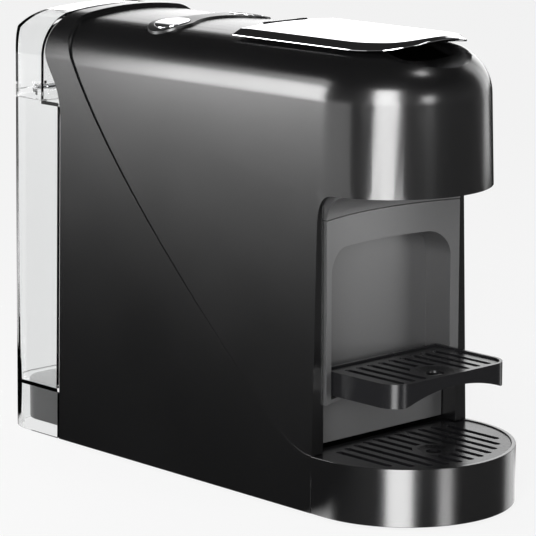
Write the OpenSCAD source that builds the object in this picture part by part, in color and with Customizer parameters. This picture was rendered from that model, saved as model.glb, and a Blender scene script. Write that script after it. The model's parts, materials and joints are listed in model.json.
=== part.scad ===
// Pod coffee machine with a rear water tank, a lever over the brewing head,
// a pull-out bin for used capsules that carries a folding cup shelf, and a drip tray.
// The machine faces -Y and stands on z = 0. Sizes are in millimetres.

/* [Body] */
// Width over the side walls at the foot of the body
body_w = 115; // [108:1:124]
// Lean of the rear shell's side walls, in degrees
rear_draft = 1.3; // [0.8:0.1:2]
// Lean of the front shell's side walls, in degrees
front_draft = 1.6; // [0.8:0.1:2]
// Height of the front shell's crest above its bottom edge
front_top = 236.4; // [232:0.1:242]
// How far the rear shell's crest stands above the front shell's
hood_rise = 2.4; // [1:0.1:4]
// Radius of the shoulders along the top
shoulder_r = 25; // [20:0.5:28]
// Slope where the shoulder turns into the crowned top, in degrees
crown_slope = 8; // [4:1:12]
// Wall thickness of the shells
wall = 2.5; // [2:0.1:3.5]
// Y of the back wall's outer face
back_y = 212.4; // [206:0.5:220]
// How far the hood reaches out over the tank
hood_reach = 14; // [10:0.5:18]

/* [Head] */
// Height of the head's underside
head_z = 163.5; // [160:0.5:168]
// Y of the axis that the round front of the head turns about
head_y = 12; // [11:0.5:16]
// Thickness of the plate that closes the head from below
head_plate_t = 2.5; // [2:0.1:4]
// Radius of the cove between the bay's back wall and the head
cove_r = 13.5; // [10:0.5:14]
// Y of the spout's axis, over the middle of the drip grilles
spout_y = -21; // [-24:0.5:-18]
// Outer radius of the spout's mouth
spout_r = 6; // [5:0.5:8]

/* [Drip tray] */
// Height of the drip tray's band
tray_h = 29.9; // [28:0.1:31]
// Y where the tray's band meets the rear shell
tray_seam_y = 10; // [9:0.5:11]
// How far the tray's tub runs back behind that seam
tray_reach = 50; // [40:1:60]
// Wall of the tray
tray_wall = 2.2; // [1.6:0.1:3]
// Thickness of the grille plates
grille_t = 2.4; // [2:0.1:3.5]
// Width of a slot in the grilles
slot_w = 3.8; // [3:0.1:4.4]
// Distance between slots
slot_pitch = 7.9; // [7:0.1:9]
// Slots on each side of the middle one, in the drip grille
tray_slots = 5; // [4:1:5]
// Radius of the dished drain of the grilles
drain_r = 9; // [7:0.5:11]

/* [Capsule bin and bay] */
// Width of the rib that edges the bay on each side
rib_w = 6.3; // [5:0.1:7]
// Radius of the bay's hollow back wall, seen from above
bay_r = 150; // [120:5:220]
// Y of the back wall's deepest line above the shelf
bay_y = 16; // [15:0.5:18]
// Y of the bin's flat front below the shelf
bay_low_y = 19.5; // [18:0.5:21]
// Height of the joint between the bin and the cove above it
bin_top = 149.6; // [146:0.1:150]
// How far the tub of the bin reaches back
bin_back_y = 98; // [90:1:104]
// Height of the tub's side walls
bin_tub_top = 122; // [110:1:140]
// Wall of the bin
bin_wall = 2; // [1.6:0.1:3]
// Top of the niche that the folded shelf goes into
niche_top = 134; // [128:1:138]
// Y of the niche's back
niche_y = 27.5; // [27:0.5:30]
// Corner radius of the niche
niche_r = 14; // [8:1:16]

/* [Cup shelf] */
// Half the width of the cup shelf
shelf_hw = 42.5; // [40:0.5:43]
// Height of the shelf's top
shelf_top = 71.5; // [69:0.5:73]
// Depth of the shelf's skirt
shelf_skirt = 12.5; // [10:0.5:14]
// Y of the shelf's front edge
shelf_front_y = -35.5; // [-38:0.5:-33]
// Y of the shelf's rear edge
shelf_rear_y = 19; // [18:0.5:20]
// Radius of the shelf's front corners
shelf_r = 12; // [8:1:16]
// Thickness of the shelf's skirt
shelf_wall = 2; // [1.6:0.1:3]
// Slots on each side of the middle one, in the shelf
shelf_slots = 4; // [3:1:4]
// Y of the shelf's hinge axis
hinge_y = 16; // [15:0.5:17]
// Radius of the shelf's hinge pins
pin_r = 2; // [1.5:0.1:2.5]

/* [Lever] */
// Half the width of the lever
lever_hw = 36.4; // [34:0.2:38]
// Thickness of the lever along its middle
lever_t = 3.4; // [3:0.2:5]
// How far the lever's top falls from its middle to its sides
lever_crown = 4.6; // [3:0.1:5]
// Y of the lever's hinge axis
lever_pivot_y = 91; // [88:0.5:96]
// Y of the centre of the lever's round front
lever_front_y = 9.4; // [6:0.2:12]
// Y where the lever starts to turn up into its lip
lip_y = -10; // [-14:1:-6]
// Radius that the lip turns up with
lip_r = 48; // [40:1:70]
// Radius of the finger scoop under the lip
scoop_r = 120; // [90:5:200]
// Slope of the finger scoop, in degrees
scoop_slope = 15.5; // [12:0.5:20]

/* [Controls] */
// Distance of each button from the middle
button_x = 27; // [25:0.5:29]
// Y of the buttons
button_y = 149; // [142:1:156]
// Radius of a button
button_r = 9.6; // [8:0.2:10.5]
// Radius of the control pad's round ends
pad_r = 13; // [12:0.5:14]
// How far the pad stands out of the top
pad_rise = 1.2; // [0.8:0.1:2]
// Depth of the pad's recess in the shell
pad_recess = 1.2; // [0.8:0.1:1.6]
// How far the buttons stand out of the pad
button_rise = 0.4; // [0.2:0.1:1]
// How far a button travels
button_travel = 1.5; // [1:0.1:2]

/* [Water tank] */
// Y of the tank's rear face
tank_back_y = 264; // [256:1:270]
// Height of the tank's rim, where the lid sits
tank_rim_z = 188; // [185:0.5:188]
// Wall of the tank
tank_wall = 2.2; // [1.8:0.1:3]
// Radius of the tank's rear corners, seen from above
tank_r = 22; // [16:1:26]
// Lean of the tank's rear face, in degrees
tank_draft = 1.1; // [0.5:0.1:2]
// Radius of the lid's rounded rear edge
lid_r = 28; // [20:1:30]
// Height of the pedestal that carries the tank
pedestal_top = 25.3; // [22:0.1:28]

/* [Fits] */
// Gap between pieces that are fitted together
gap = 0.3; // [0.2:0.05:0.5]
// Radial clearance of a pin in its bore
pin_gap = 0.05; // [0.03:0.01:0.1]
// Radius of the lid's hinge pin
small_pin_r = 1; // [0.8:0.1:1.2]
// Height of the feet below the shells
foot_h = 1.5; // [1:0.1:3]
// Radius of a foot
foot_r = 8; // [6:0.5:10]

/* [Hidden] */
$fn = 64;

front_r = body_w / 2;
rear_top = front_top + hood_rise;
shift_y = (front_r - tank_back_y) / 2;
far = 400;
plate_t = 3;
head_fillet = 15;
pad_waist = 5.5;

// Rib and bay widths follow the front shell's side walls
rib_z = (tray_h + head_z) / 2;
bay_hw = front_r - rib_z * tan(front_draft) - rib_w;
bay_cy = bay_y - bay_r;
bin_z = tray_h + 1.6;
bin_hw = bay_hw - 2 * gap - 2;
niche_hw = shelf_hw + 0.8;
hinge_z = shelf_top - 9.5;
niche_z = hinge_z - (shelf_rear_y - hinge_y) - 2;
panel_z = niche_z - bin_wall;

// Tank, from the faces that it meets
tank_front_y = back_y + 1.6;
tank_floor_z = pedestal_top + gap;
lid_front_y = back_y + hood_reach + 2;
lid_barrel_r = 2;
lid_axis_z = tank_rim_z + gap + lid_barrel_r;
lid_axis_y = tank_back_y - lid_axis_z * tan(tank_draft) - lid_barrel_r;
lid_barrel_x = front_r - tank_r - 2;
knuckle_w = 6;
knuckle_x = lid_barrel_x - knuckle_w / 2 - 0.5;
valve_z = 40;
valve_r = 4;

// Lever and what it drives
lever_z = front_top + gap;
lever_barrel_r = 1.6;
lever_axis_z = lever_z + lever_barrel_r;
lever_pin_r = 0.8;
lever_pin_x = 15;
lever_ear_x = 12;
lever_ear_w = 4;
slot_hw = 19;
slot_y0 = -16;
slot_y1 = 14;
chamber_hw = 24;
chamber_y0 = -26;
chamber_y1 = 30;
chamber_z0 = head_z + head_plate_t + 2.4;
chamber_top = front_top - 22.4;
chute_top = front_top - 14.4;
piston_r = (chamber_top - chamber_z0) / 2 - 7.8;
piston_z = (chamber_z0 + chamber_top) / 2;
piston_y0 = 4;
piston_len = 40;

// Inner frame
chassis_hw = front_r - 11.5;
chassis_top = front_top - 40.4;
chassis_y0 = bin_back_y + 8;
chassis_y1 = back_y - wall - 3;
boiler_z = 96;
hose_z = boiler_z + 44;
board_z = front_top - 24.4;
board_t = 1.6;
switch_h = 5;
pump_r = 17;
pump_z = plate_t + 6 + pump_r;
gland_y = 192;
gland_z = 16;
gland_r = 6;

// ---------- curves and profiles ----------

function bezier(a, b, c, d, n) =
    [for (i = [0:n]) let (t = i / n, u = 1 - t)
        u * u * u * a + 3 * u * u * t * b + 3 * u * t * t * c + t * t * t * d];

function side_x(z, draft, inset = 0) = front_r - z * tan(draft) - inset;

// Right half of a cross-section: leaning wall, round shoulder, crowned top
function half_section(top, draft, inset, low, steps = 14) =
    let (
        k = crown_slope,
        xc = side_x(top - shoulder_r, draft) - shoulder_r,
        zc = top - shoulder_r * cos(k) - tan(k) * (xc + shoulder_r * sin(k)) / 2,
        r = shoulder_r - inset,
        x1 = xc + r * sin(k),
        z1 = zc + r * cos(k),
        crest = z1 + tan(k) * x1 / 2
    )
    concat(
        [[side_x(low, draft, inset), low]],
        [for (i = [0:steps]) let (a = i * (90 - k) / steps) [xc + r * cos(a), zc + r * sin(a)]],
        [for (i = [1:5]) let (x = x1 * (1 - i / 5)) [x, crest - tan(k) * x * x / (2 * x1)]]
    );

// Front edge of the rear shell, seen from the side as [y, z], from the top down
seam = concat(
    [[back_y - 1, far], [back_y - 1, rear_top + 2]],
    bezier([back_y - 0.4, 232], [back_y - 13.4, 187], [120, 110], [49, 51.3], 16),
    [for (i = [1:8]) bezier([49, 51.3], [35, 39.3], [22, tray_h], [tray_seam_y, tray_h], 8)[i]]
);

// Outline of the back wall and the hood over the tank, from the bottom up
function hood_edge(inset, low) =
    let (y0 = back_y - inset, y1 = back_y + hood_reach - inset)
    concat(
        [[y0, low]],
        bezier([y0, 178], [y0, 203], [y1 + 0.4, 204], [y1, 219], 10),
        [for (i = [1:8])
            bezier([y1, 219], [y1 - 0.3, 229], [y1 - 3, rear_top - 1], [y1 - 9, rear_top + 1], 8)[i]]
    );

module along_y(y0, y1) translate([0, y1, 0]) rotate([90, 0, 0]) linear_extrude(y1 - y0) children();

module along_x(x0, x1) translate([x0, 0, 0]) rotate([90, 0, 90]) linear_extrude(x1 - x0) children();

module both_sides() {
    children();
    mirror([1, 0, 0]) children();
}

module section(top, draft, inset, low = -10) {
    half = half_section(top, draft, inset, low);
    polygon(concat(half, [for (i = [len(half) - 2:-1:0]) [-half[i][0], half[i][1]]]));
}

// Body form of the front shell: a long section with a round nose
module nose_form(inset, low = -10) {
    half = half_section(front_top, front_draft, inset, low);
    along_y(head_y, back_y + 8) section(front_top, front_draft, inset, low);
    translate([0, head_y, 0]) rotate([0, 0, 180]) rotate_extrude(angle = 180)
        polygon(concat([[0, low]], half));
}

module rear_form(inset) along_y(tray_seam_y, back_y + hood_reach + 2) section(rear_top, rear_draft, inset);

// Everything in front of and above the seam, and clear of the cup bay
module front_region() {
    along_x(-far, far) polygon(concat(
        seam,
        bezier([tray_seam_y, head_z - head_fillet], [tray_seam_y, head_z - 6], [7, head_z], [2, head_z], 8),
        [[-far, head_z], [-far, far]]
    ));
}

module rear_region() {
    along_x(-far, far) polygon(concat(
        [for (i = [len(seam) - 1:-1:0]) if (seam[i][1] < far) seam[i]],
        [for (i = [len(hood_edge(0, 0)) - 1:-1:0]) hood_edge(0, 0)[i]],
        [[tray_seam_y, 0]]
    ));
}

// Two round pads joined by a waist, seen from above: one outline of four tangent arcs
module peanut(r) {
    pinch_r = (button_x * button_x + pad_waist * pad_waist - pad_r * pad_r) / (2 * (pad_r - pad_waist));
    pinch_y = pad_waist + pinch_r;
    t = atan(pinch_y / button_x);
    p = pinch_r + pad_r - r;
    end = [for (i = [-18:18]) let (a = i * (180 - t) / 18) [button_x + r * cos(a), r * sin(a)]];
    arc = [for (i = [1:9]) let (a = -t - i * (180 - 2 * t) / 10) [p * cos(a), pinch_y + p * sin(a)]];
    translate([0, button_y]) polygon(concat(end, arc, -1 * end, -1 * arc));
}

module rounded_plan(x, y0, y1, r) {
    difference() {
        translate([-x, y0]) square([2 * x, y1 - y0]);
        both_sides() difference() {
            translate([x - r, y1 - r]) square(r + 1);
            translate([x - r, y1 - r]) circle(r);
        }
    }
}

module slot(x, y0, y1) {
    translate([x, y0 + slot_w / 2]) circle(d = slot_w, $fn = 24);
    translate([x, y1 - slot_w / 2]) circle(d = slot_w, $fn = 24);
    translate([x - slot_w / 2, y0 + slot_w / 2]) square([slot_w, y1 - y0 - slot_w]);
}

// Rod with round ends at its bends
module pipe(points, r) {
    for (i = [0:len(points) - 2]) {
        v = points[i + 1] - points[i];
        translate(points[i])
            rotate([0, acos(v[2] / norm(v)), atan2(v[1], v[0])]) cylinder(r = r, h = norm(v), $fn = 24);
    }
    for (i = [1:len(points) - 2]) translate(points[i]) sphere(r = r, $fn = 24);
}

// ---------- shells ----------

module front_shell() color("#1b1b1c") {
    difference() {
        intersection() {
            union() {
                difference() {
                    nose_form(0);
                    difference() {
                        nose_form(wall);
                        scoop(wall);
                    }
                    scoop(0);
                }
                bay_ribs();
                lever_ears();
            }
            front_region();
        }
        // recess and holes of the control pad
        intersection() {
            translate([0, 0, board_z]) linear_extrude(far) peanut(pad_r + gap / 2);
            difference() {
                nose_form(-10);
                nose_form(pad_recess);
            }
        }
        both_sides() translate([button_x, button_y, board_z]) cylinder(r = button_r + gap, h = far);
        // capsule slot under the lever
        translate([-slot_hw, slot_y0, chamber_top + gap]) cube([2 * slot_hw, slot_y1 - slot_y0, far]);
        lever_bore();
    }
}

// Ball that cuts the finger scoop: it meets the round front along a sloping ring
module scoop(grow) {
    ring_r = 25;
    ring_y = -7;
    ring_z = front_top - 2.9;
    reach = sqrt(scoop_r * scoop_r - ring_r * ring_r);
    translate([0, ring_y - reach * sin(scoop_slope), ring_z + reach * cos(scoop_slope)])
        sphere(r = scoop_r + grow, $fn = 180);
}

module lever_bore() translate([-far, lever_pivot_y, lever_axis_z]) rotate([0, 90, 0])
    cylinder(r = lever_pin_r + pin_gap, h = 2 * far, $fn = 32);

// Ears that carry the lever's pin, standing on the top of the shell
module lever_ears() both_sides() along_x(lever_ear_x - lever_ear_w / 2, lever_ear_x + lever_ear_w / 2) {
    r = lever_barrel_r;
    translate([lever_pivot_y, lever_axis_z]) circle(r, $fn = 32);
    translate([lever_pivot_y - r, front_top - wall]) square([2 * r, lever_axis_z - front_top + wall]);
}

// Ribs that edge the cup bay, turned in from the side walls
module bay_ribs() difference() {
    along_y(tray_seam_y, bay_low_y + bin_wall) section(front_top, front_draft, 0, tray_h);
    translate([-bay_hw, 0, -far]) cube([2 * bay_hw, 60, 2 * far]);
    translate([-far, 0, head_z]) cube([2 * far, 60, far]);
}

module rear_shell() color("#191919") difference() {
    intersection() {
        rear_form(0);
        rear_region();
    }
    intersection() {
        rear_form(wall);
        along_x(-far, far) polygon(concat([[-far, -far]], hood_edge(wall, -far), [[-far, rear_top + 1]]));
    }
    translate([0, back_y - 10, valve_z]) rotate([-90, 0, 0]) cylinder(r = valve_r + 1 + gap, h = 20);
    translate([0, gland_y, gland_z]) rotate([0, 90, 0]) cylinder(r = gland_r + gap, h = far);
}

module base_plate() color("#202020") difference() {
    hw = side_x(plate_t, rear_draft, wall + gap);
    translate([-hw, tray_seam_y + gap, 0]) cube([2 * hw, back_y - wall - tray_seam_y - 2 * gap, plate_t]);
    for (y = foot_rows(), x = [-foot_x(), foot_x()])
        translate([x, y, -1]) cylinder(r = foot_pin_r + pin_gap, h = 2);
    for (y = screw_rows(), x = [-screw_x(), screw_x()])
        translate([x, y, -1]) cylinder(r = 1.5 + gap, h = far, $fn = 24);
}

foot_pin_r = 3;

function foot_rows() = [tray_seam_y + 16, back_y - 16];
function foot_x() = front_r - 16;
function screw_rows() = [chassis_y0 + 8, chassis_y1 - 8];
function screw_x() = chassis_hw - 22;

module feet() color("#2a2a2a") for (y = foot_rows(), x = [-foot_x(), foot_x()]) translate([x, y, 0]) {
    translate([0, 0, -foot_h]) cylinder(r = foot_r, h = foot_h);
    cylinder(r = foot_pin_r, h = 1);
}

module base_screws() color("silver") for (y = screw_rows(), x = [-screw_x(), screw_x()]) translate([x, y, 0]) {
    translate([0, 0, -1]) cylinder(r = 3, h = 1, $fn = 24);
    cylinder(r = 1.5, h = plate_t + 4, $fn = 24);
}

module tank_pedestal() color("#161616") {
    inset = tank_wall + 4.3;
    difference() {
        translate([0, 0, 4]) linear_extrude(pedestal_top - 4)
            rounded_plan(front_r - inset - 2, back_y, tank_back_y - inset, tank_r - inset);
        translate([0, 0, 4 - 1]) linear_extrude(pedestal_top - 4 - 2)
            rounded_plan(front_r - inset - 4, back_y + 2, tank_back_y - inset - 2, tank_r - inset - 2);
    }
}

// ---------- head ----------

module head_plate() color("#232324") {
    difference() {
        union() {
            head_floor_r = side_x(head_z, front_draft, wall + gap) - head_plate_t * tan(front_draft);
            translate([0, head_y, head_z]) cylinder(r = head_floor_r, h = head_plate_t, $fn = 128);
            translate([-head_floor_r, head_y, head_z]) cube([2 * head_floor_r, 20, head_plate_t]);
        }
        translate([-far, bay_y + 3, 0]) cube([2 * far, far, far]);
        translate([0, spout_y, 0]) cylinder(r = spout_r + gap, h = far);
    }
    cove();
}

// Hollow fillet that turns the bay's back wall into the head's underside
module cove() intersection() {
    translate([0, bay_cy, 0]) rotate([0, 0, 90 - 24]) rotate_extrude(angle = 48, $fn = 180) polygon(concat(
        [for (i = [0:10]) [bay_r - cove_r + cove_r * sin(i * 9), head_z - cove_r + cove_r * cos(i * 9)]],
        [[bay_r + 3, head_z - cove_r], [bay_r + 3, head_z + 1], [bay_r - cove_r, head_z + 1]]
    ));
    translate([-bay_hw + gap, -far, 0]) cube([2 * (bay_hw - gap), 2 * far, far]);
}

module coffee_spout() color("#101010") translate([0, spout_y, 0]) difference() {
    union() {
        translate([0, 0, head_z - 3.5]) cylinder(r1 = spout_r - 2, r2 = spout_r, h = 3.5);
        translate([0, 0, head_z]) cylinder(r = spout_r, h = head_plate_t + gap);
        translate([0, 0, head_z + head_plate_t + gap]) cylinder(r = spout_r + 3, h = 2);
    }
    translate([0, 0, head_z - 10]) cylinder(r = 2.5, h = 30);
}

// ---------- inner parts ----------

module chassis() color("#5a5c60") {
    t = 2;
    z0 = plate_t;
    len = chassis_y1 - chassis_y0;
    both_sides() translate([chassis_hw - t, chassis_y0, z0]) cube([t, len, chassis_top - z0]);
    for (z = [boiler_z - 2 * t, chassis_top - t])
        translate([-chassis_hw, chassis_y0, z]) cube([2 * chassis_hw, len, t]);
    // flanges and blocks that take the screws
    difference() {
        union() {
            both_sides() translate([screw_x() - 6, chassis_y0, z0]) cube([chassis_hw - screw_x() + 6, len, t]);
            for (x = [-screw_x(), screw_x()], y = screw_rows()) translate([x - 6, y - 6, z0]) cube([12, 12, 6]);
        }
        for (x = [-screw_x(), screw_x()], y = screw_rows())
            translate([x, y, 0]) cylinder(r = 1.5, h = plate_t + 5, $fn = 24);
    }
    // posts that carry the control board
    for (x = [-30, 30], y = [button_y - 20, button_y + 20])
        translate([x, y, chassis_top - t]) cylinder(r = 2.5, h = board_z - chassis_top + t, $fn = 24);
}

module pump() color("#8f8f92") translate([0, 0, pump_z]) {
    translate([0, chassis_y0 + 14, 0]) rotate([-90, 0, 0]) cylinder(r = pump_r, h = 42);
    translate([0, chassis_y0 + 6, 0]) rotate([-90, 0, 0]) cylinder(r = 9, h = 70);
    translate([-13, chassis_y0 + 20, -14]) cube([26, 30, 30]);
}

module pump_mounts() color("#303030") for (y = [chassis_y0 + 7, chassis_y0 + 60]) difference() {
    translate([-16, y, plate_t]) cube([32, 6, pump_z - plate_t + 4]);
    translate([0, y - 1, pump_z]) rotate([-90, 0, 0]) cylinder(r = 9, h = 10);
    translate([-7, y - 1, pump_z]) cube([14, 10, 20]);
}

module thermoblock() color("#a9a9ac") {
    z0 = boiler_z - 2;
    translate([-32, chassis_y0 + 12, z0]) cube([64, 66, 20]);
    translate([0, chassis_y0 + 45, z0 + 20]) cylinder(r = 24, h = 12);
    for (x = [-20, 20]) translate([x, chassis_y0 + 22, z0 + 20]) cylinder(r = 4, h = 8, $fn = 24);
}

module brew_chamber() color("#3a3a3d") difference() {
    union() {
        translate([-chamber_hw, chamber_y0, chamber_z0])
            cube([2 * chamber_hw, chamber_y1 - chamber_y0, chamber_top - chamber_z0]);
        // chute up to the slot in the shell
        translate([-slot_hw - 2, slot_y0 - 2, chamber_top - 1])
            cube([2 * slot_hw + 4, slot_y1 - slot_y0 + 4, chute_top - chamber_top + 1]);
    }
    translate([-slot_hw, slot_y0, piston_z - piston_r - 1]) cube([2 * slot_hw, slot_y1 - slot_y0, far]);
    translate([0, slot_y0 - 6, piston_z]) rotate([-90, 0, 0])
        cylinder(r = piston_r + pin_gap, h = chamber_y1 - slot_y0 + 7);
    translate([0, spout_y, head_z]) cylinder(r = 2.5, h = 30, $fn = 24);
}

module brew_piston() color("#77787b") translate([0, piston_y0, piston_z]) rotate([-90, 0, 0]) {
    cylinder(r = piston_r, h = piston_len);
    translate([0, 0, -3]) cylinder(r1 = 0.5, r2 = 1.5, h = 3, $fn = 24);
    for (a = [0:120:240]) rotate(a) translate([piston_r / 2, 0, -3])
        cylinder(r1 = 0.4, r2 = 1.5, h = 3, $fn = 24);
}

module control_board() color("#1f5a36") translate([-38, button_y - 24, board_z])
    cube([76, 48, board_t]);

module button_switches() color("#222222") both_sides() translate([button_x, button_y, board_z + board_t]) {
    translate([-6, -6, 0]) cube([12, 12, switch_h - 1.5]);
    cylinder(r = 3, h = switch_h, $fn = 24);
}

module control_pad() color("#232323") difference() {
    intersection() {
        translate([0, 0, board_z]) linear_extrude(far) peanut(pad_r);
        difference() {
            nose_form(-pad_rise);
            nose_form(pad_recess);
        }
    }
    both_sides() translate([button_x, button_y, board_z]) cylinder(r = button_r + gap, h = far);
}

// Cap that follows the crown of the top, with a stem that ends just over its switch
module button() {
    z0 = board_z + board_t + switch_h + button_travel + gap;
    z1 = front_top - 3.6;
    translate([button_x, button_y, z0]) cylinder(r = 2.5, h = z1 - z0 + 1, $fn = 32);
    intersection() {
        translate([button_x, button_y, z1]) cylinder(r = button_r, h = far);
        nose_form(-pad_rise - button_rise);
    }
}

module espresso_button() color("#c9c9cc") mirror([1, 0, 0]) button();

module lungo_button() color("#c9c9cc") button();

module hoses() color("#c8c4b8") {
    pump_y = chassis_y0 + 76;
    pipe([[0, back_y - wall - 1, valve_z], [0, chassis_y1 - 4, valve_z], [0, chassis_y1 - 4, pump_z],
        [0, pump_y + gap, pump_z]], 3);
    feed_x = -piston_r - 5;
    feed_y = chassis_y0 - 4;
    pipe([[-20, chassis_y0 + 22, boiler_z + 26 + gap], [-20, chassis_y0 + 22, hose_z], [-20, feed_y, hose_z],
        [feed_x, feed_y, piston_z + 10], [feed_x, chamber_y1 + gap, piston_z + 10]], 3);
}

module tank_valve() color("#2c2c2c") difference() {
    translate([0, back_y - wall - 1, valve_z]) rotate([-90, 0, 0]) {
        cylinder(r = valve_r, h = wall + 7);
        cylinder(r = valve_r + 1, h = wall + 1);
    }
    translate([0, back_y, valve_z]) rotate([-90, 0, 0]) cylinder(r = 2, h = 20, $fn = 32);
}

module cord_gland() color("#151515") difference() {
    x0 = side_x(gland_z, rear_draft);
    translate([x0 - wall - 6, gland_y, gland_z]) rotate([0, 90, 0]) union() {
        cylinder(r = gland_r, h = wall + 5.5);
        cylinder(r = gland_r + 1.5, h = 5.5 - gap);
    }
    translate([x0 - 20, gland_y, gland_z]) rotate([0, 90, 0]) cylinder(r = 3.5, h = 40);
}

// ---------- lever ----------

// Crowned section of the lever, as [x, height over its middle's underside]
module lever_section() {
    low = 2.2;
    steps = 12;
    polygon(concat(
        [for (i = [-steps:steps]) let (x = i / steps) [lever_hw * x, lever_t - lever_crown * x * x]],
        [for (i = [steps:-1:-steps]) let (x = i / steps) [lever_hw * x, -low * x * x]]
    ));
}

// Lever plate with its front turned up about an axis above it
module lever_blank() {
    lip_angle = asin((lever_hw - lever_front_y + lip_y + 4) / lip_r);
    translate([0, 0, lever_z]) along_y(lip_y, lever_pivot_y) lever_section();
    translate([0, lip_y, lever_z + lip_r]) rotate([0, 90, 0]) rotate([0, 0, -lip_angle])
        rotate_extrude(angle = lip_angle) translate([lip_r, 0]) rotate(90) lever_section();
}

module lever() color("#d5d5d8") difference() {
    union() {
        intersection() {
            lever_blank();
            linear_extrude(far) union() {
                translate([0, lever_front_y]) circle(lever_hw, $fn = 180);
                translate([-lever_hw, lever_front_y]) square([2 * lever_hw, far]);
            }
        }
        translate([-lever_pin_x - 1, lever_pivot_y, lever_axis_z]) rotate([0, 90, 0])
            cylinder(r = lever_barrel_r, h = 2 * lever_pin_x + 2, $fn = 32);
    }
    both_sides() translate([lever_ear_x - lever_ear_w / 2 - gap, lever_pivot_y - lever_barrel_r - gap, 0])
        cube([lever_ear_w + 2 * gap, far, far]);
    lever_bore();
}

module lever_pin() color("silver") translate([-lever_pin_x, lever_pivot_y, lever_axis_z]) rotate([0, 90, 0])
    cylinder(r = lever_pin_r, h = 2 * lever_pin_x, $fn = 32);

// ---------- drip tray ----------

module tray_plan(r) {
    intersection() {
        circle(r, $fn = 128);
        translate([-far, -far]) square([2 * far, far + 0.001]);
    }
    translate([-r, 0]) square([2 * r, tray_seam_y - gap]);
}

// Disc of the grille, drawn back between the ribs to the bin's flat front
module grille_plan(r) {
    intersection() {
        circle(r, $fn = 128);
        translate([-far, -far]) square([2 * far, far + tray_seam_y - 2 * gap]);
    }
    translate([-bay_hw + gap, 0]) square([2 * (bay_hw - gap), bay_low_y - 2 * gap]);
}

module drip_tray() color("#1a1a1b") {
    tub_hw = front_r - wall - 1.5;
    tub_y = tray_seam_y + tray_reach;
    floor_z = plate_t + gap;
    rim_r = front_r - 2.2;
    ledge = tray_h - grille_t - 0.6;
    difference() {
        union() {
            linear_extrude(tray_h) tray_plan(front_r);
            translate([-tub_hw, 0, floor_z]) cube([2 * tub_hw, tub_y, tray_h - floor_z]);
        }
        translate([0, 0, floor_z + tray_wall]) linear_extrude(far) intersection() {
            union() {
                circle(rim_r - 3, $fn = 128);
                translate([-tub_hw + tray_wall, 0]) square([2 * (tub_hw - tray_wall), tub_y - tray_wall]);
            }
            translate([-tub_hw + tray_wall, -far]) square([2 * (tub_hw - tray_wall), 2 * far]);
        }
        translate([0, 0, ledge]) linear_extrude(far) {
            circle(rim_r, $fn = 128);
            translate([-tub_hw + tray_wall, 0]) square([2 * (tub_hw - tray_wall), 26]);
        }
    }
}

module drip_grille() color("#141414") {
    r = front_r - 2.2 - gap;
    z0 = tray_h - grille_t - 0.6;
    slot_r = r - 4.5;
    difference() {
        translate([0, 0, z0]) linear_extrude(grille_t) grille_plan(r);
        for (i = [-tray_slots:tray_slots]) {
            x = i * slot_pitch;
            y0 = -sqrt(slot_r * slot_r - x * x) + slot_w / 2;
            y1 = bay_low_y - bay_r + sqrt(pow(bay_r - 5, 2) - x * x);
            translate([0, 0, z0 - 1]) linear_extrude(10) difference() {
                slot(x, y0, y1);
                translate([0, spout_y]) circle(drain_r + 2);
            }
        }
        translate([0, spout_y, z0 - 1]) cylinder(r = drain_r - 5, h = 10);
        translate([0, spout_y, z0 + grille_t - 1]) cylinder(r1 = drain_r - 3, r2 = drain_r, h = 1.001);
    }
}

// ---------- capsule bin and cup shelf ----------

module niche_shape(hw, z0, z1, r) {
    translate([-hw, z0]) square([2 * hw, z1 - z0 - r]);
    translate([-hw + r, z0]) square([2 * (hw - r), z1 - z0]);
    both_sides() translate([hw - r, z1 - r]) circle(r);
}

// Hollow wall over the bin's front, with the niche that the shelf folds into
module bay_panel() color("#1e1e1f") difference() {
    union() {
        intersection() {
            translate([0, bay_cy, panel_z]) rotate([0, 0, 90 - 24])
                rotate_extrude(angle = 48, $fn = 180) translate([bay_r, 0]) square([3, bin_top - panel_z]);
            translate([-bay_hw + gap, -far, 0]) cube([2 * (bay_hw - gap), 2 * far, far]);
        }
        translate([0, niche_y + bin_wall, 0]) rotate([90, 0, 0]) linear_extrude(niche_y + bin_wall - bay_y + 5.4)
            niche_shape(niche_hw + bin_wall, panel_z, niche_top + bin_wall, niche_r + bin_wall);
    }
    translate([0, niche_y, 0]) rotate([90, 0, 0]) linear_extrude(far)
        niche_shape(niche_hw, niche_z, niche_top, niche_r);
    translate([0, bay_cy, 0]) cylinder(r = bay_r, h = far, $fn = 240);
    translate([-far, hinge_y, hinge_z]) rotate([0, 90, 0]) cylinder(r = pin_r + pin_gap, h = 2 * far, $fn = 32);
}

// Open tub behind a flat front; the panel stands on its front edge
module capsule_bin() color("#1e1e1f") {
    inner_y = niche_y + bin_wall;
    difference() {
        translate([-bin_hw, bay_low_y, bin_z]) cube([2 * bin_hw, bin_back_y - bay_low_y, bin_tub_top - bin_z]);
        translate([-bin_hw + bin_wall, bay_low_y + bin_wall, bin_z + bin_wall])
            cube([2 * (bin_hw - bin_wall), bin_back_y - bay_low_y - 2 * bin_wall, far]);
        translate([-far, -far, panel_z]) cube([2 * far, far + inner_y, far]);
    }
    translate([-bay_hw + gap, bay_low_y, bin_z]) cube([2 * (bay_hw - gap), bin_wall, panel_z - bin_z]);
}

module shelf_plan(inset) {
    hw = shelf_hw - inset;
    r = shelf_r - inset;
    y0 = shelf_front_y + inset;
    translate([-hw, y0 + r]) square([2 * hw, shelf_rear_y - inset - y0 - r]);
    translate([-hw + r, y0]) square([2 * (hw - r), r + 1]);
    both_sides() translate([hw - r, y0 + r]) circle(r);
}

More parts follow.
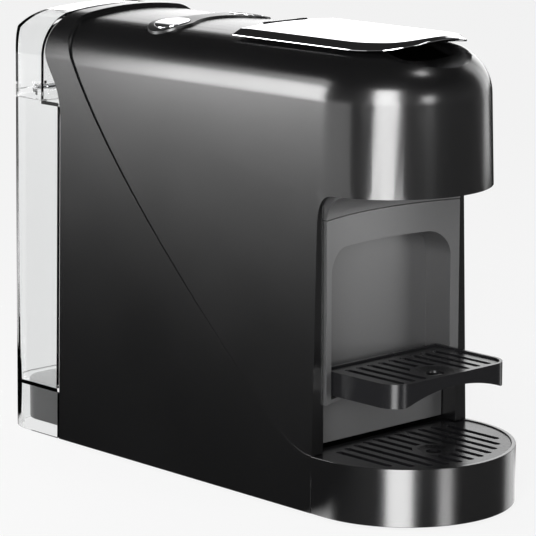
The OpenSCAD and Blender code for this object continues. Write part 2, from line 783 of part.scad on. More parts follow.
module cup_shelf() color("#1a1a1b") {
    z0 = shelf_top - shelf_skirt;
    lip = 1;
    arch = shelf_skirt / 2;
    difference() {
        translate([0, 0, z0]) linear_extrude(shelf_skirt) shelf_plan(0);
        translate([0, 0, z0 - 1]) linear_extrude(shelf_skirt - lip - grille_t + 1) shelf_plan(shelf_wall);
        translate([0, 0, shelf_top - lip]) linear_extrude(far) shelf_plan(shelf_wall - 0.4);
        // arched lower edge of the front
        translate([0, shelf_front_y + shelf_r, z0]) rotate([90, 0, 0]) linear_extrude(far)
            intersection() {
                translate([0, arch - arch_r(arch)]) circle(arch_r(arch), $fn = 180);
                translate([-shelf_hw, -2]) square([2 * shelf_hw, far]);
            }
        for (i = [-shelf_slots:shelf_slots]) translate([0, 0, z0]) linear_extrude(far) difference() {
            slot(i * slot_pitch, shelf_front_y + 5.5, bay_y - 5);
            translate([0, spout_y]) circle(drain_r + 3.5);
        }
        translate([0, spout_y, z0]) cylinder(r = drain_r - 4, h = 40);
        translate([0, spout_y, shelf_top - lip - 1.2]) cylinder(r1 = drain_r - 2, r2 = drain_r + 1.5, h = 1.201);
        both_sides() translate([-shelf_hw - 1, hinge_y, hinge_z]) rotate([0, 90, 0])
            cylinder(r = pin_r, h = 5, $fn = 32);
    }
    // bosses that take the pins
    difference() {
        both_sides() translate([shelf_hw - 5, hinge_y, hinge_z]) rotate([0, 90, 0]) cylinder(r = 3, h = 4);
        both_sides() translate([shelf_hw - 4, hinge_y, hinge_z]) rotate([0, 90, 0])
            cylinder(r = pin_r, h = 5, $fn = 32);
    }
}

// Radius of the arc that rises by the given height over the width of the shelf's front
function arch_r(h) = let (c = shelf_hw - shelf_r * 0.6) (c * c + h * h) / (2 * h);

module shelf_pins() color("silver") both_sides() translate([shelf_hw - 4, hinge_y, hinge_z])
    rotate([0, 90, 0]) cylinder(r = pin_r, h = 4 + 0.8 + bin_wall, $fn = 32);

// ---------- water tank ----------

// Body of the tank: a rounded outline from above, drawn up along its leaning rear
module tank_form(inset, z0, z1, y0) intersection() {
    along_y(y0, tank_back_y - inset) section(rear_top - 1, rear_draft, inset);
    translate([0, tank_back_y, 0]) rotate([tank_draft, 0, 0]) translate([0, -tank_back_y, -20])
        linear_extrude(far) rounded_plan(front_r - inset, y0 - 20, tank_back_y - inset, tank_r - inset);
    translate([-far, y0, z0]) cube([2 * far, far, z1 - z0]);
}

module knuckles(w) both_sides() translate([knuckle_x - w / 2, lid_axis_y, lid_axis_z]) {
    rotate([0, 90, 0]) cylinder(r = lid_barrel_r, h = w, $fn = 32);
    translate([0, -lid_barrel_r, -lid_barrel_r - 2]) cube([w, 2 * lid_barrel_r, lid_barrel_r + 2]);
}

module water_tank() color("#dfe6ea", 0.35) difference() {
    union() {
        difference() {
            tank_form(0, 0, tank_rim_z, tank_front_y);
            tank_form(tank_wall, tank_floor_z + tank_wall, far, tank_front_y + tank_wall);
            // skirt round the pedestal, open to the front
            tank_form(tank_wall, -1, tank_floor_z, tank_front_y - 5);
        }
        // deck under the hood
        intersection() {
            tank_form(0.5, tank_rim_z - tank_wall, tank_rim_z, tank_front_y);
            translate([-far, 0, 0]) cube([2 * far, lid_front_y + 2, far]);
        }
        knuckles(knuckle_w);
    }
    translate([0, tank_front_y - 1, valve_z]) rotate([-90, 0, 0]) cylinder(r = valve_r + gap, h = 5);
    translate([-far, lid_axis_y, lid_axis_z]) rotate([0, 90, 0])
        cylinder(r = small_pin_r + pin_gap, h = 2 * far, $fn = 32);
}

// Side view of the lid's rear and top, as [y, z]
module lid_side(inset) {
    z = rear_top + 2 - lid_r;
    y = tank_back_y - z * tan(tank_draft) - lid_r;
    r = lid_r - inset;
    translate([0, -far]) square([far, far + z]);
    translate([0, -far]) square([y, far + z + r]);
    translate([y, z]) circle(r);
}

module tank_lid() color("#dfe6ea", 0.35) difference() {
    union() {
        intersection() {
            difference() {
                lid_form(0, lid_front_y);
                lid_form(tank_wall, lid_front_y + tank_wall);
            }
            translate([-far, 0, lid_axis_z]) cube([2 * far, far, far]);
        }
        intersection() {
            difference() {
                lid_form(0, lid_front_y);
                lid_form(tank_wall, lid_front_y + tank_wall);
            }
            translate([-far, 0, tank_rim_z + gap]) cube([2 * far, lid_axis_y - lid_barrel_r - 4, far]);
        }
        translate([-lid_barrel_x, lid_axis_y, lid_axis_z]) rotate([0, 90, 0])
            cylinder(r = lid_barrel_r, h = 2 * lid_barrel_x, $fn = 32);
    }
    both_sides() translate([knuckle_x - knuckle_w / 2 - gap, lid_axis_y - 3, 0])
        cube([knuckle_w + 2 * gap, far, lid_axis_z + lid_barrel_r + 1.5]);
    translate([-far, lid_axis_y, lid_axis_z]) rotate([0, 90, 0])
        cylinder(r = small_pin_r + pin_gap, h = 2 * far, $fn = 32);
}

module lid_form(inset, y0) intersection() {
    tank_form(inset, tank_rim_z, far, y0);
    along_x(-far, far) lid_side(inset);
}

module lid_pin() color("silver") translate([-lid_barrel_x + 1, lid_axis_y, lid_axis_z]) rotate([0, 90, 0])
    cylinder(r = small_pin_r, h = 2 * lid_barrel_x - 2, $fn = 32);

// Puts the middle of the machine over the origin and its feet on z = 0
module placed() translate([0, shift_y, foot_h]) children();

placed() front_shell();
placed() rear_shell();
placed() base_plate();
placed() feet();
placed() base_screws();
placed() tank_pedestal();
placed() head_plate();
placed() coffee_spout();
placed() chassis();
placed() pump();
placed() pump_mounts();
placed() thermoblock();
placed() brew_chamber();
placed() control_board();
placed() button_switches();
placed() control_pad();
placed() hoses();
placed() tank_valve();
placed() cord_gland();
placed() lever_pin();
placed() lever();
placed() brew_piston();
placed() espresso_button();
placed() lungo_button();
placed() drip_tray();
placed() drip_grille();
placed() capsule_bin();
placed() bay_panel();
placed() cup_shelf();
placed() shelf_pins();
placed() water_tank();
placed() tank_lid();
placed() lid_pin();
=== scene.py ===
"""Looks of the pod coffee machine: materials, refined meshes, lights and camera. Lengths are in metres."""
import json
from math import cos, pi, radians, sin, sqrt, tan

import bmesh
import bpy
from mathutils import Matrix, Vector

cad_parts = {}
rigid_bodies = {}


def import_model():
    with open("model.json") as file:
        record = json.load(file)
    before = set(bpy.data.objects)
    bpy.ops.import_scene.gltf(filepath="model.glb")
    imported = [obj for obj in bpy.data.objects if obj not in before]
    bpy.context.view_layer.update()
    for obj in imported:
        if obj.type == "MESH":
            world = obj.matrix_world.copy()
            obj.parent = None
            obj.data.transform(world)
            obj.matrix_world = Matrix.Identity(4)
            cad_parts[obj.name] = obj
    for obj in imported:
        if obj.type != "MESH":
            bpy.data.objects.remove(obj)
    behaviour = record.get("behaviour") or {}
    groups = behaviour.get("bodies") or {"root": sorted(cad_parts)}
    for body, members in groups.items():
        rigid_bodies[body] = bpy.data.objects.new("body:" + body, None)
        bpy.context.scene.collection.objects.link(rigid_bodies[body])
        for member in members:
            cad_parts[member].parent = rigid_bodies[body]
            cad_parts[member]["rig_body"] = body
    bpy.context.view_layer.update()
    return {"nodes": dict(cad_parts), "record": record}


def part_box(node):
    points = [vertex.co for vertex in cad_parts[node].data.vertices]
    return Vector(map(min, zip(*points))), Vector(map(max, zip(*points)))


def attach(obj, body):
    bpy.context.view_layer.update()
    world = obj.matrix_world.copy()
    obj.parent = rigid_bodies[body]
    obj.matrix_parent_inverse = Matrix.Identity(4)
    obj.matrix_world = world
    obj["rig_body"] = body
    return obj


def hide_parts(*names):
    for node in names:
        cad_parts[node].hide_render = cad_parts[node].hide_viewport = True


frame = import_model()

HALF_WIDTH = 0.0575                                 # of the shells at their bottom and of the round base
FOOT_PIN = 0.001                                    # how far the feet reach up into the base plate
SHELL_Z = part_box("feet")[1].z - FOOT_PIN            # bottom edge of the shells
AXIS_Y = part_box("drip_tray")[0].y + HALF_WIDTH      # axis of the round base


# ---------- shader nodes ----------

MIX_A, MIX_B = 2, 3                                 # a Mix node's two inputs for plain values
COLOUR_A, COLOUR_B, COLOUR_OUT = 6, 7, 2            # its two inputs and its output for colours
NOISE_LOW, NOISE_HIGH = 0.3, 0.7                    # nearly all of a noise's values lie between these


def new_material(name):
    material = bpy.data.materials.new(name)
    material.use_nodes = True
    tree = material.node_tree
    shader = tree.nodes["Principled BSDF"]
    return material, tree, shader


def link(tree, a, b):
    tree.links.new(a, b)


def feed(tree, source, socket):
    """Links a socket to another one, or sets it to a plain value."""
    if isinstance(source, (int, float)):
        socket.default_value = source
    else:
        link(tree, source, socket)


def add(tree, kind, **values):
    node = tree.nodes.new(kind)
    for key, value in values.items():
        if key in node.inputs:
            node.inputs[key].default_value = value
        else:
            setattr(node, key, value)
    return node


def ramp(tree, source, low, high, start=0.0, end=1.0):
    """Maps a value between start and end to the range from low to high."""
    node = add(tree, "ShaderNodeMapRange")
    node.inputs["From Min"].default_value = start
    node.inputs["From Max"].default_value = end
    node.inputs["To Min"].default_value = low
    node.inputs["To Max"].default_value = high
    link(tree, source, node.inputs["Value"])
    return node.outputs["Result"]


def maths(tree, operation, *sources):
    """The result of a Math node on sockets and plain values."""
    node = add(tree, "ShaderNodeMath", operation=operation)
    for source, socket in zip(sources, node.inputs):
        feed(tree, source, socket)
    return node.outputs[0]


def mixed(tree, factor, a, b):
    """A mix of two values, each a socket or a plain value."""
    node = add(tree, "ShaderNodeMix")
    link(tree, factor, node.inputs[0])
    feed(tree, a, node.inputs[MIX_A])
    feed(tree, b, node.inputs[MIX_B])
    return node.outputs[0]


def mixed_shaders(tree, factor, a, b):
    node = add(tree, "ShaderNodeMixShader")
    for source, socket in zip((factor, a, b), node.inputs):
        link(tree, source, socket)
    return node.outputs[0]


def noise(tree, coords, scale, detail):
    node = add(tree, "ShaderNodeTexNoise", Scale=scale, Detail=detail)
    link(tree, coords, node.inputs["Vector"])
    return node.outputs["Fac"]


def bump(tree, shader, height, strength, depth):
    node = add(tree, "ShaderNodeBump", Strength=strength, Distance=depth)
    link(tree, height, node.inputs["Height"])
    link(tree, node.outputs["Normal"], shader.inputs["Normal"])


# ---------- materials ----------

GRAIN_SHADE = 0.12                  # how far the grain's light and dark lie from a plastic's colour
GRAIN_DEPTH = 0.0002
MOTTLING_SCALE = 14.0
STREAK_ROUGH = 0.03                 # how much rougher even a plain metal gets in its streaks
FLOW_SCALE = 22.0
FLOW_STRENGTH, FLOW_DEPTH = 0.04, 0.001
FLOW_ROUGH = 0.02
FLOOR_ROUGH = 0.9


def moulded(name, colour, rough, grain=0.02, grain_scale=1800.0, mottling=0.04, specular=0.5):
    """Moulded plastic: fine spark-eroded grain, and roughness that varies a little."""
    material, tree, shader = new_material(name)
    coords = add(tree, "ShaderNodeTexCoord").outputs["Object"]
    fine = noise(tree, coords, grain_scale, 2.0)
    broad = noise(tree, coords, MOTTLING_SCALE, 3.0)
    colours = add(tree, "ShaderNodeMix", data_type="RGBA")
    for socket, share in ((COLOUR_A, 1 - GRAIN_SHADE), (COLOUR_B, 1 + GRAIN_SHADE)):
        colours.inputs[socket].default_value = (*[min(1, c * share) for c in colour], 1)
    link(tree, fine, colours.inputs[0])
    link(tree, colours.outputs[COLOUR_OUT], shader.inputs["Base Color"])
    roughness = ramp(tree, broad, rough - mottling, rough + mottling, NOISE_LOW, NOISE_HIGH)
    link(tree, roughness, shader.inputs["Roughness"])
    bump(tree, shader, fine, grain, GRAIN_DEPTH)
    shader.inputs["Specular IOR Level"].default_value = specular
    return material


def metal(name, colour, rough, streak=0.0, scale=(40, 900, 900)):
    """Polished or turned metal: roughness varies in faint streaks."""
    material, tree, shader = new_material(name)
    mapping = add(tree, "ShaderNodeMapping")
    mapping.inputs["Scale"].default_value = scale
    link(tree, add(tree, "ShaderNodeTexCoord").outputs["Object"], mapping.inputs["Vector"])
    streaks = noise(tree, mapping.outputs["Vector"], 1.0, 3.0)
    link(tree, ramp(tree, streaks, rough, rough + STREAK_ROUGH + streak), shader.inputs["Roughness"])
    shader.inputs["Base Color"].default_value = (*colour, 1)
    shader.inputs["Metallic"].default_value = 1.0
    return material


def clear_plastic(name, tint, rough):
    """Clear moulded plastic with faint flow marks."""
    material, tree, shader = new_material(name)
    flow = noise(tree, add(tree, "ShaderNodeTexCoord").outputs["Object"], FLOW_SCALE, 2.0)
    bump(tree, shader, flow, FLOW_STRENGTH, FLOW_DEPTH)
    link(tree, ramp(tree, flow, rough, rough + FLOW_ROUGH), shader.inputs["Roughness"])
    shader.inputs["Base Color"].default_value = (*tint, 1)
    shader.inputs["Transmission Weight"].default_value = 1.0
    shader.inputs["IOR"].default_value = 1.45
    return material


MATERIALS = {
    "body_plastic": moulded("satin_black", (0.0050, 0.0050, 0.0052), 0.22, mottling=0.02, specular=1.0),
    "base_plastic": moulded("pedestal_black", (0.010, 0.010, 0.011), 0.30, specular=0.8),
    "bay_plastic": moulded("bay_black", (0.060, 0.060, 0.061), 0.42, specular=0.9),
    "grille_plastic": moulded("grille_black", (0.010, 0.010, 0.011), 0.26, mottling=0.03, specular=0.35),
    "pad_plastic": moulded("pad_black", (0.009, 0.009, 0.0095), 0.30, specular=1.0),
    "inner_plastic": moulded("inner_plastic", (0.05, 0.05, 0.055), 0.45),
    "rubber": moulded("rubber", (0.02, 0.02, 0.02), 0.7, grain=0.1, grain_scale=900.0),
    "steel": metal("steel", (0.58, 0.58, 0.60), 0.22, streak=0.1),
    "pump_metal": metal("pump_metal", (0.45, 0.45, 0.47), 0.35, streak=0.1),
    "cast_alloy": metal("cast_alloy", (0.5, 0.5, 0.52), 0.5, streak=0.2, scale=(300, 300, 300)),
    "board": moulded("board_green", (0.02, 0.13, 0.05), 0.35),
    "hose": moulded("hose_silicone", (0.62, 0.60, 0.55), 0.4, grain=0.05, grain_scale=400.0),
    "chrome": metal("chrome", (0.86, 0.86, 0.88), 0.03),
    "clear_plastic": clear_plastic("clear_plastic", (0.985, 0.99, 0.99), 0.0),
}
SLOTS = {s["node"]: s["material_slot"] for s in frame["record"]["subparts"]}


def dress(obj, slot_name):
    obj.data.materials.clear()
    obj.data.materials.append(MATERIALS[slot_name])


# ---------- meshes ----------

WELD = 2e-6                         # vertices closer than this are one
FLAT = radians(1.0)                 # faces that meet at less than this are one
ROUNDED_FROM = radians(38)          # edges sharper than this are rounded
SHARP_FROM = radians(30)            # edges sharper than this stay sharp in the shading
LEVER_SHARP_FROM = radians(35)
NARROW = 0.35                       # share of the rounding on edges that aren't the wide ones
FACE_WEIGHT = 80                    # of the weighted normals: above 50, large faces count for more


def new_piece(name, bm):
    mesh = bpy.data.meshes.new(name + "_mesh")
    bm.to_mesh(mesh)
    bm.free()
    obj = bpy.data.objects.new(name, mesh)
    bpy.context.scene.collection.objects.link(obj)
    return obj


def stand_for(obj, node):
    """Dresses a piece, puts it on its node's body and hides the node's solid."""
    dress(obj, SLOTS[node])
    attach(obj, frame["nodes"][node]["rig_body"])
    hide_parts(node)
    return obj


def finish_mesh(obj, bevel=0.0, segments=2, by_weight=False):
    """Applies a piece's modifiers, with its sharp edges rounded, and gives it clean normals."""
    if bevel:
        rounding = obj.modifiers.new("round", "BEVEL")
        rounding.width = bevel
        rounding.segments = segments
        rounding.limit_method = "WEIGHT" if by_weight else "ANGLE"
        rounding.angle_limit = ROUNDED_FROM
        rounding.harden_normals = False
        rounding.use_clamp_overlap = True
        rounding.miter_outer = "MITER_ARC"
    bpy.context.view_layer.objects.active = obj
    evaluated = obj.evaluated_get(bpy.context.evaluated_depsgraph_get())
    mesh = bpy.data.meshes.new_from_object(evaluated)
    obj.modifiers.clear()
    obj.data = mesh
    mesh.set_sharp_from_angle(angle=SHARP_FROM)
    mesh.polygons.foreach_set("use_smooth", [True] * len(mesh.polygons))
    weighted = obj.modifiers.new("normals", "WEIGHTED_NORMAL")
    weighted.keep_sharp = True
    weighted.weight = FACE_WEIGHT


def weigh_edges(bm, wide):
    """Weights for the rounding: 1 on the sharp edges that the test picks, less on the other sharp ones."""
    layer = bm.edges.layers.float.new("bevel_weight_edge")
    for edge in bm.edges:
        if len(edge.link_faces) == 2 and edge.calc_face_angle(0) > ROUNDED_FROM:
            edge[layer] = 1.0 if all(wide(v.co) for v in edge.verts) else NARROW


def refined(node, bevel, segments=2, wide=None):
    """A copy of a CAD node with merged faces and rounded edges, which then stands for it."""
    bm = bmesh.new()
    bm.from_mesh(frame["nodes"][node].data)
    bmesh.ops.remove_doubles(bm, verts=bm.verts, dist=WELD)
    bmesh.ops.dissolve_limit(bm, angle_limit=FLAT, verts=bm.verts, edges=bm.edges)
    if wide:
        weigh_edges(bm, wide)
    obj = new_piece(node + "_piece", bm)
    finish_mesh(obj, bevel, segments, by_weight=bool(wide))
    return stand_for(obj, node)


# ---------- CAD nodes: materials, and rounded copies of what shows ----------

for name, obj in frame["nodes"].items():
    dress(obj, SLOTS[name])

ROUNDED = {
    "front_shell": 0.0005, "drip_tray": 0.0005, "drip_grille": 0.0003, "capsule_bin": 0.0004,
    "bay_panel": 0.0005, "cup_shelf": 0.0004, "head_plate": 0.0003, "coffee_spout": 0.0003,
    "control_pad": 0.0004, "espresso_button": 0.0004, "lungo_button": 0.0004,
    "tank_pedestal": 0.0008, "water_tank": 0.0004, "tank_lid": 0.0004,
}
SEAM_ROUNDING = 0.0015              # on the rear shell's edge along the diagonal seam
SEAM_SEGMENTS = 3
SIDE_SLOPE = 0.0285                 # a little more than the side walls lean in for each unit of height
WALL_BAND = 0.0006                  # depth within which an edge counts as one of theirs
LOWER_MARGIN = 0.003                # below this height the rounding stays narrow


def on_outer_wall(point):
    """True on the shells' outer side walls, clear of their bottom edge."""
    height = point.z - SHELL_Z
    return height > LOWER_MARGIN and abs(point.x) > HALF_WIDTH - SIDE_SLOPE * height - WALL_BAND


refined("rear_shell", SEAM_ROUNDING, SEAM_SEGMENTS, wide=on_outer_wall)
for name, width in ROUNDED.items():
    refined(name, width)


# ---------- lever: a thin crowned plate with chamfered sides, turned up at its front ----------

LEVER_Z = 0.2382                    # underside of the plate in its middle
LEVER_T = 0.0029                    # thickness in its middle
LEVER_HW = 0.0364                   # half the width
LEVER_FRONT = AXIS_Y + 0.0094       # centre of the round front
LEVER_BACK = AXIS_Y + 0.0910        # back edge, and the hinge's axis
CROWN_HW = 0.033                    # half the width of the crowned top, inside the chamfer
CROWN_DROP = 0.0010                 # how far the top falls over that
UNDERSIDE_DROP = 0.0022             # how far the underside falls from its middle to its sides
LIP_Y = AXIS_Y - 0.0100             # where the plate starts to turn up
LIP_R = 0.0480                      # radius of that turn

# The plate's rings, by how far each is drawn in from the outline. On the edge, where the chamfer runs
# from the lower edge's last ring to the upper edge's first, each ring also has its height over the
# underside or over the top.
SIDE_STEPS, FRONT_STEPS, BACK_STEPS = 24, 48, 16
UNDERSIDE = [0.0362, 0.030, 0.022, 0.014, 0.007, 0.003, 0.0008]
LOWER_EDGE = [(0.0003, 0.00002), (0.00007, 0.0001), (0.0, 0.0003), (0.00005, 0.0006), (0.0003, 0.0010)]
UPPER_EDGE = [(0.0028, -0.0005), (0.0032, -0.00016), (0.0038, -0.00002)]
TOP = [0.0052, 0.009, 0.014, 0.021, 0.029, 0.0362]

EAR_X = 0.0120                      # the shell's ears, which carry the hinge's pin
NOTCH = (0.0050, 0.0110, 0.0200)    # room for an ear in the plate
NOTCH_BEHIND = 0.0033               # how far the middle of a notch lies behind the axis
BARREL_R = 0.00158
BARREL_Z = LEVER_Z + 0.0016
BARRELS = [(-0.0160, -0.0145), (-0.0095, 0.0095), (0.0145, 0.0160)]
BARREL_SIDES = 32


def lip_rise(y):
    return LIP_R - sqrt(LIP_R ** 2 - min(0.0, y - LIP_Y) ** 2)


def lever_top(x, y):
    return LEVER_Z + LEVER_T - CROWN_DROP * (x / CROWN_HW) ** 2 + lip_rise(y)


def lever_bottom(x, y):
    return LEVER_Z - UNDERSIDE_DROP * (x / LEVER_HW) ** 2 + lip_rise(y)


def lever_plan(inset):
    """The outline from above, drawn in by an inset: up the left side, round the front, across the back."""
    half = LEVER_HW - inset
    back_y = LEVER_BACK - inset
    turns = [pi * i / FRONT_STEPS for i in range(FRONT_STEPS)]
    left = [(-half, back_y + (LEVER_FRONT - back_y) * i / SIDE_STEPS) for i in range(SIDE_STEPS)]
    front = [(-half * cos(turn), LEVER_FRONT - half * sin(turn)) for turn in turns]
    right = [(half, LEVER_FRONT + (back_y - LEVER_FRONT) * i / SIDE_STEPS) for i in range(SIDE_STEPS)]
    rear = [(half - 2 * half * i / BACK_STEPS, back_y) for i in range(BACK_STEPS)]
    return left + front + right + rear


def lever_ring(surface, inset, lift=0.0):
    return [(x, y, surface(x, y) + lift) for x, y in lever_plan(inset)]


def lever_plate():
    """Rings from the middle of the underside, round the chamfered edge, to the middle of the top."""
    rings = [lever_ring(lever_bottom, inset) for inset in UNDERSIDE]
    rings += [lever_ring(lever_bottom, inset, lift) for inset, lift in LOWER_EDGE]
    rings += [lever_ring(lever_top, inset, lift) for inset, lift in UPPER_EDGE]
    rings += [lever_ring(lever_top, inset) for inset in TOP]
    bm = bmesh.new()
    verts = [[bm.verts.new(co) for co in ring] for ring in rings]
    for a, b in zip(verts, verts[1:]):
        for i in range(len(a)):
            j = (i + 1) % len(a)
            bm.faces.new((a[i], a[j], b[j], b[i]))
    bm.faces.new(verts[0][::-1])
    bm.faces.new(verts[-1])
    bmesh.ops.recalc_face_normals(bm, faces=bm.faces)
    return new_piece("lever_piece", bm)


def notch_cutter(side):
    bm = bmesh.new()
    bmesh.ops.create_cube(bm, size=1.0)
    bmesh.ops.scale(bm, vec=NOTCH, verts=bm.verts)
    bmesh.ops.translate(bm, vec=(side * EAR_X, LEVER_BACK + NOTCH_BEHIND, LEVER_Z), verts=bm.verts)
    return new_piece("notch", bm)


def add_barrels(mesh):
    """The lever's half of its hinge."""
    along_x = Vector((0, 0, 1)).rotation_difference(Vector((1, 0, 0))).to_matrix()
    bm = bmesh.new()
    bm.from_mesh(mesh)
    for start, end in BARRELS:
        made = bmesh.ops.create_cone(bm, cap_ends=True, segments=BARREL_SIDES, radius1=BARREL_R,
                                     radius2=BARREL_R, depth=end - start)
        bmesh.ops.rotate(bm, matrix=along_x, verts=made["verts"])
        bmesh.ops.translate(bm, vec=((start + end) / 2, LEVER_BACK, BARREL_Z), verts=made["verts"])
    bm.to_mesh(mesh)
    bm.free()


def lever_piece():
    obj = lever_plate()
    cutters = [notch_cutter(side) for side in (-1, 1)]
    for cutter in cutters:
        notch = obj.modifiers.new("notch", "BOOLEAN")
        notch.object = cutter
        notch.solver = "EXACT"
    finish_mesh(obj)
    for cutter in cutters:
        bpy.data.objects.remove(cutter)
    add_barrels(obj.data)
    obj.data.set_sharp_from_angle(angle=LEVER_SHARP_FROM)
    return stand_for(obj, "lever")


lever_piece()


# ---------- camera ----------

LENS, SENSOR = 194.25, 36           # focal length and width, both in millimetres
CAMERA_PLACE = (-1.0354, AXIS_Y - 1.0103, SHELL_Z + 0.4130)
DEGREES_DOWN = 11.44
DEGREES_ROUND = 42.92


def photo_camera():
    data = bpy.data.cameras.new("camera")
    data.lens = LENS
    data.sensor_width = SENSOR
    data.clip_end = 20
    camera = bpy.data.objects.new("camera", data)
    bpy.context.scene.collection.objects.link(camera)
    camera.location = CAMERA_PLACE
    camera.rotation_euler = (radians(90 - DEGREES_DOWN), 0, radians(-DEGREES_ROUND))
    return camera


bpy.context.scene.camera = photo_camera()
bpy.context.scene.view_settings.view_transform = "Standard"


# ---------- softboxes ----------

def softbox(name, place, target, width, height, power):
    lamp = bpy.data.lights.new(name, "AREA")
    lamp.shape = "RECTANGLE"
    lamp.size = width
    lamp.size_y = height
    lamp.energy = power
    obj = bpy.data.objects.new(name, lamp)
    bpy.context.scene.collection.objects.link(obj)
    obj.location = place
    obj.rotation_euler = (Vector(target) - Vector(place)).to_track_quat("-Z", "Y").to_euler()
    return obj


def panel(name, seen_from, azimuth, distance, low, high, degrees_wide, strength):
    """An upright softbox, at an azimuth clockwise from +Y as a point on the machine sees it.

    The strength is the brightness of its face, so that its reflection keeps its level when it is moved."""
    a = radians(azimuth)
    x, y = seen_from[0] + distance * sin(a), seen_from[1] + distance * cos(a)
    width = 2 * distance * tan(radians(degrees_wide / 2))
    middle = (low + high) / 2
    return softbox(name, (x, y, middle), (seen_from[0], seen_from[1], middle), width, high - low,
                   strength * pi * width * (high - low))


NOSE = (-0.036, AXIS_Y - 0.024)
NOSE_FRONT = (-0.024, AXIS_Y - 0.052)
RIGHT_RIM = (0.02, AXIS_Y - 0.036)
SIDE = (-0.052, AXIS_Y + 0.10)
BAY = (0.0, AXIS_Y + 0.02)
DOME = (-0.02, AXIS_Y - 0.03, 0.226)
DOME_LAMP = (0.14, AXIS_Y - 0.47, 1.11)
DOME_LAMP_SIDE = 0.16

# Azimuth and distance, height of the lower and the upper edge, degrees wide, strength
panel("key", NOSE, -130, 2.0, 0.02, 1.30, 27, 12.0)
panel("left_rear", SIDE, -49, 0.75, 0.16, 0.50, 24, 8.5)
panel("left_rear_top", SIDE, -49, 0.75, 0.50, 0.70, 24, 2.6)
panel("rim", RIGHT_RIM, 88, 1.0, 0.02, 0.90, 20, 1.6)
panel("front", NOSE_FRONT, -178, 1.2, 0.20, 0.50, 14, 6.0)
bay_light = panel("bay_light", BAY, 128, 0.55, 0.02, 0.30, 34, 4.0)
softbox("dome_spot", DOME_LAMP, DOME, DOME_LAMP_SIDE, DOME_LAMP_SIDE, 0.6)

# The bay's light reaches only the bay, so that it draws no highlight on the shells and the base.
bay_pieces = bpy.data.collections.new("bay_pieces")
for piece in ("bay_panel_piece", "capsule_bin_piece", "head_plate_piece"):
    bay_pieces.objects.link(bpy.data.objects[piece])
bay_light.light_linking.receiver_collection = bay_pieces


# ---------- floor and world ----------

FLOOR_HALF = 6.0
FLOOR_WHITE = 0.85                  # share of plain white that the camera sees; the rest holds the shadow
POLISH = 0.85                       # what the mirrored floor in front of the machine gives back
# The painted glow on the floor beside the machine, an emission seen only in reflections, bright at the
# first X and dark at the second
PAINTED_GLOW_X = (-1.3, -0.05)
PAINTED_GLOW_LEVELS = (0.01, 1.6)                 # its darkest and its brightest
PAINTED_GLOW_FADE = 3.2                    # the power of its fall
FRONT_BLEND = 0.02                  # how far the polished floor and the painted glow run into each other

BACKDROP_AZIMUTH = radians(36)      # clockwise from +Y, behind the machine as the camera sees it
BACKDROP_RISE = (0.26, 0.42)        # sine of the elevation where the backdrop starts and ends to fade
BACKDROP_SPREAD = (0.60, 0.85)      # cosine of the angle from its azimuth, dark and bright
ROOM_RISE = (0.05, 0.55)            # sine of the elevation where the room starts and ends to darken
ROOM_DARK = 0.02


def seen_plainly(tree, path):
    """1 on rays straight from the camera and on rays through clear pieces.

    A ray through a clear piece counts as glossy too, so what this picks is always mixed in last."""
    return maths(tree, "MAXIMUM", path.outputs["Is Camera Ray"], path.outputs["Is Transmission Ray"])


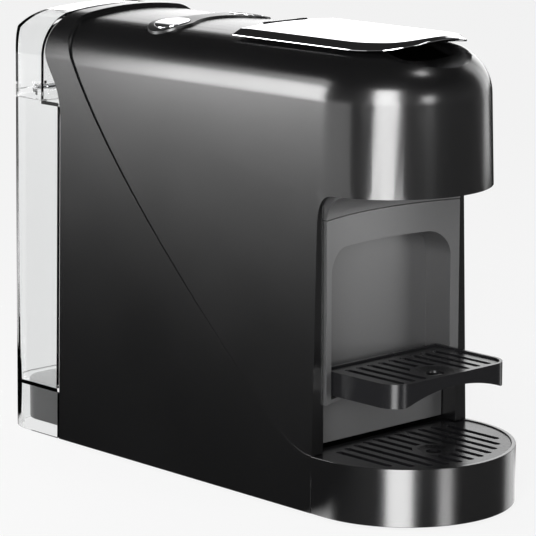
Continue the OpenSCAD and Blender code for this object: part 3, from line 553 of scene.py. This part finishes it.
def stage_material(name, bounce, mirror_rough):
    """Pale floor: white to the camera and through clear pieces; in reflections it is polished
    acrylic in front of the machine, and beside it a painted glow, dark near the machine and bright far to
    the left."""
    material, tree, shader = new_material(name)
    shader.inputs["Base Color"].default_value = (bounce, bounce, bounce, 1)
    shader.inputs["Roughness"].default_value = FLOOR_ROUGH
    place = add(tree, "ShaderNodeSeparateXYZ")
    link(tree, add(tree, "ShaderNodeTexCoord").outputs["Object"], place.inputs[0])
    polish = add(tree, "ShaderNodeBsdfGlossy", Roughness=mirror_rough)
    polish.inputs["Color"].default_value = (POLISH, POLISH, POLISH, 1)
    # painted glow: light painted into the floor's emission, bright far to the left, seen only in
    # reflections
    far_left = maths(tree, "POWER", ramp(tree, place.outputs["X"], 1.0, 0.0, *PAINTED_GLOW_X), PAINTED_GLOW_FADE)
    painted_glow = add(tree, "ShaderNodeEmission")
    link(tree, ramp(tree, far_left, *PAINTED_GLOW_LEVELS), painted_glow.inputs["Strength"])
    behind = ramp(tree, place.outputs["Y"], 0.0, 1.0, AXIS_Y - FRONT_BLEND, AXIS_Y + FRONT_BLEND)
    polish_and_painted_glow = mixed_shaders(tree, behind, polish.outputs[0], painted_glow.outputs[0])
    path = add(tree, "ShaderNodeLightPath")
    lit = mixed_shaders(tree, path.outputs["Is Glossy Ray"], shader.outputs[0], polish_and_painted_glow)
    white = add(tree, "ShaderNodeEmission", Strength=1.0)
    plain = ramp(tree, seen_plainly(tree, path), 0.0, FLOOR_WHITE)
    surface = mixed_shaders(tree, plain, lit, white.outputs[0])
    link(tree, surface, tree.nodes["Material Output"].inputs["Surface"])
    return material


def floor_plane():
    mesh = bpy.data.meshes.new("floor_mesh")
    corners = [(-1, -1), (1, -1), (1, 1), (-1, 1)]
    mesh.from_pydata([(x * FLOOR_HALF, y * FLOOR_HALF, 0) for x, y in corners], [], [(0, 1, 2, 3)])
    floor = bpy.data.objects.new("floor", mesh)
    bpy.context.scene.collection.objects.link(floor)
    floor.data.materials.append(stage_material("floor_paint", 0.8, 0.08))
    return floor


def studio_world(fill, backdrop, dim):
    """White to the camera; in reflections a white backdrop low behind the machine, and a dim room."""
    world = bpy.data.worlds.new("studio")
    bpy.context.scene.world = world
    world.use_nodes = True
    tree = world.node_tree
    background = tree.nodes["Background"]
    background.inputs["Color"].default_value = (1, 1, 1, 1)
    direction = add(tree, "ShaderNodeTexCoord").outputs["Generated"]
    split = add(tree, "ShaderNodeSeparateXYZ")
    link(tree, direction, split.inputs[0])
    behind = add(tree, "ShaderNodeVectorMath", operation="DOT_PRODUCT")
    link(tree, direction, behind.inputs[0])
    behind.inputs[1].default_value = (sin(BACKDROP_AZIMUTH), cos(BACKDROP_AZIMUTH), 0)
    low = ramp(tree, split.outputs["Z"], 1.0, 0.0, *BACKDROP_RISE)
    wide = ramp(tree, behind.outputs["Value"], 0.0, 1.0, *BACKDROP_SPREAD)
    room = ramp(tree, split.outputs["Z"], dim, ROOM_DARK, *ROOM_RISE)
    reflected = maths(tree, "MULTIPLY_ADD", maths(tree, "MULTIPLY", low, wide), backdrop, room)
    path = add(tree, "ShaderNodeLightPath")
    unseen = mixed(tree, path.outputs["Is Glossy Ray"], fill, reflected)
    link(tree, mixed(tree, seen_plainly(tree, path), unseen, 1.0), background.inputs["Strength"])


floor = floor_plane()
studio_world(0.25, 2.2, 0.16)
